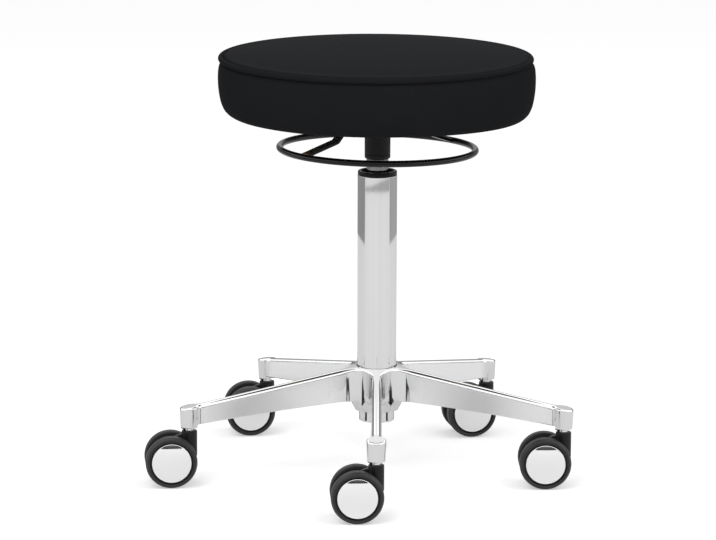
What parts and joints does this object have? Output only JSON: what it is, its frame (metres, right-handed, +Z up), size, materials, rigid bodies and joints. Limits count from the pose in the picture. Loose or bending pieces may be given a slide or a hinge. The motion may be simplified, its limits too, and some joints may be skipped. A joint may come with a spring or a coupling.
{
  "type": "office stool",
  "caption": "Backless round office stool: piped padded seat, ring release under it, gas-lift column and a polished star base on swivel castors.",
  "frame": {"origin": "on the floor under the column's axis", "axes": "+Z up along the column, -Y towards the front arm of the base, +X to a viewer's right"},
  "size_m": [0.5397, 0.5038, 0.5403],
  "materials": {
    "polished_aluminium": "polished casting",
    "chrome": "bright chrome on steel tube",
    "cap_chrome": "chromed plastic caps",
    "silver_steel": "ground steel",
    "plain_steel": "zinc plated",
    "black_plastic": "fine satin",
    "natural_plastic": "natural acetal",
    "wheel_grey": "soft tread, satin",
    "black_paint": "satin powder coat",
    "black_gloss": "gloss coat",
    "bump_rubber": "plain rubber",
    "plywood": "bare plywood",
    "foam": "cut polyurethane foam",
    "faux_leather": "smooth matt grain",
    "dust_cloth": "spun cloth"
  },
  "bodies": {
    "base": {"star_base": "polished_aluminium", "column_tube": "chrome", "column_ring_cap": "black_plastic", "guide_bush": "black_plastic", "tube_bottom_plate": "plain_steel", "bearing_lower_race": "plain_steel", "bearing_ball_cage": "plain_steel", "castor_stems": "silver_steel"},
    "lift_rod": {"bearing_upper_race": "plain_steel", "piston_rod": "plain_steel", "rod_clip_and_washer": "plain_steel", "bump_stop": "bump_rubber", "piston": "plain_steel"},
    "seat": {"gas_cylinder": "silver_steel", "rod_gland": "natural_plastic", "cone_socket": "black_paint", "lever_bracket": "black_paint", "lever_pivot_pin": "plain_steel", "seat_plate": "black_paint", "seat_board": "plywood", "seat_t_nuts": "plain_steel", "seat_screws": "plain_steel", "seat_top_panel": "faux_leather", "seat_side_band": "faux_leather", "seat_piping": "faux_leather", "seat_foam": "foam", "seat_dust_cover": "dust_cloth"},
    "release_lever": {"release_bar": "black_gloss", "release_ring": "black_gloss"},
    "valve_button": {"valve_button": "natural_plastic"},
    "front_castor": {"front_castor_fork": "black_plastic", "front_castor_axle": "plain_steel"},
    "front_wheel_near": {"front_castor_wheel_near": "wheel_grey", "front_castor_cap_near": "cap_chrome"},
    "front_wheel_far": {"front_castor_wheel_far": "wheel_grey", "front_castor_cap_far": "cap_chrome"},
    "right_front_castor": {"right_front_castor_fork": "black_plastic", "right_front_castor_axle": "plain_steel"},
    "right_front_wheel_near": {"right_front_castor_wheel_near": "wheel_grey", "right_front_castor_cap_near": "cap_chrome"},
    "right_front_wheel_far": {"right_front_castor_wheel_far": "wheel_grey", "right_front_castor_cap_far": "cap_chrome"},
    "right_rear_castor": {"right_rear_castor_fork": "black_plastic", "right_rear_castor_axle": "plain_steel"},
    "right_rear_wheel_near": {"right_rear_castor_wheel_near": "wheel_grey", "right_rear_castor_cap_near": "cap_chrome"},
    "right_rear_wheel_far": {"right_rear_castor_wheel_far": "wheel_grey", "right_rear_castor_cap_far": "cap_chrome"},
    "left_rear_castor": {"left_rear_castor_fork": "black_plastic", "left_rear_castor_axle": "plain_steel"},
    "left_rear_wheel_near": {"left_rear_castor_wheel_near": "wheel_grey", "left_rear_castor_cap_near": "cap_chrome"},
    "left_rear_wheel_far": {"left_rear_castor_wheel_far": "wheel_grey", "left_rear_castor_cap_far": "cap_chrome"},
    "left_front_castor": {"left_front_castor_fork": "black_plastic", "left_front_castor_axle": "plain_steel"},
    "left_front_wheel_near": {"left_front_castor_wheel_near": "wheel_grey", "left_front_castor_cap_near": "cap_chrome"},
    "left_front_wheel_far": {"left_front_castor_wheel_far": "wheel_grey", "left_front_castor_cap_far": "cap_chrome"}
  },
  "joints": [
    {"name": "seat_swivel", "type": "hinge", "parent": "base", "child": "lift_rod", "pos_m": [0, 0, 0], "axis": [0, 0, 1], "continuous": true},
    {"name": "seat_height", "type": "slide", "parent": "lift_rod", "child": "seat", "axis": [0, 0, 1], "range_m": [0, 0.195]},
    {"name": "ring_lift", "type": "hinge", "parent": "seat", "child": "release_lever", "pos_m": [-0.01532, -0.01286, 0.45178], "axis": [-0.6428, 0.766, 0], "range_deg": [0, 5], "stiffness_Nm_per_rad": 6, "springref_deg": -5.73},
    {"name": "button_press", "type": "slide", "parent": "seat", "child": "valve_button", "axis": [0, 0, -1], "range_m": [0, 0.0018]},
    {"name": "front_castor_swivel", "type": "hinge", "parent": "base", "child": "front_castor", "pos_m": [0, -0.247, 0.07], "axis": [0, 0, 1], "continuous": true},
    {"name": "front_wheel_near_spin", "type": "hinge", "parent": "front_castor", "child": "front_wheel_near", "pos_m": [-0.02347, -0.24811, 0.0325], "axis": [-0.0471, 0.9989, 0], "continuous": true},
    {"name": "front_wheel_far_spin", "type": "hinge", "parent": "front_castor", "child": "front_wheel_far", "pos_m": [-0.02347, -0.24811, 0.0325], "axis": [-0.0471, 0.9989, 0], "continuous": true},
    {"name": "right_front_castor_swivel", "type": "hinge", "parent": "base", "child": "right_front_castor", "pos_m": [0.23491, -0.07633, 0.07], "axis": [0, 0, 1], "continuous": true},
    {"name": "right_front_wheel_near_spin", "type": "hinge", "parent": "right_front_castor", "child": "right_front_wheel_near", "pos_m": [0.21142, -0.0769, 0.0325], "axis": [-0.0244, 0.9997, 0], "continuous": true},
    {"name": "right_front_wheel_far_spin", "type": "hinge", "parent": "right_front_castor", "child": "right_front_wheel_far", "pos_m": [0.21142, -0.0769, 0.0325], "axis": [-0.0244, 0.9997, 0], "continuous": true},
    {"name": "right_rear_castor_swivel", "type": "hinge", "parent": "base", "child": "right_rear_castor", "pos_m": [0.14518, 0.19983, 0.07], "axis": [0, 0, 1], "continuous": true},
    {"name": "right_rear_wheel_near_spin", "type": "hinge", "parent": "right_rear_castor", "child": "right_rear_wheel_near", "pos_m": [0.12217, 0.19506, 0.0325], "axis": [-0.2028, 0.9792, 0], "continuous": true},
    {"name": "right_rear_wheel_far_spin", "type": "hinge", "parent": "right_rear_castor", "child": "right_rear_wheel_far", "pos_m": [0.12217, 0.19506, 0.0325], "axis": [-0.2028, 0.9792, 0], "continuous": true},
    {"name": "left_rear_castor_swivel", "type": "hinge", "parent": "base", "child": "left_rear_castor", "pos_m": [-0.14518, 0.19983, 0.07], "axis": [0, 0, 1], "continuous": true},
    {"name": "left_rear_wheel_near_spin", "type": "hinge", "parent": "left_rear_castor", "child": "left_rear_wheel_near", "pos_m": [-0.16851, 0.19696, 0.0325], "axis": [-0.1219, 0.9925, 0], "continuous": true},
    {"name": "left_rear_wheel_far_spin", "type": "hinge", "parent": "left_rear_castor", "child": "left_rear_wheel_far", "pos_m": [-0.16851, 0.19696, 0.0325], "axis": [-0.1219, 0.9925, 0], "continuous": true},
    {"name": "left_front_castor_swivel", "type": "hinge", "parent": "base", "child": "left_front_castor", "pos_m": [-0.23491, -0.07633, 0.07], "axis": [0, 0, 1], "continuous": true},
    {"name": "left_front_wheel_near_spin", "type": "hinge", "parent": "left_front_castor", "child": "left_front_wheel_near", "pos_m": [-0.2583, -0.07862, 0.0325], "axis": [-0.0976, 0.9952, 0], "continuous": true},
    {"name": "left_front_wheel_far_spin", "type": "hinge", "parent": "left_front_castor", "child": "left_front_wheel_far", "pos_m": [-0.2583, -0.07862, 0.0325], "axis": [-0.0976, 0.9952, 0], "continuous": true}
  ],
  "couplings": [
    {"joint": "button_press", "follows": "ring_lift", "m_per_rad": 0.02}
  ]
}
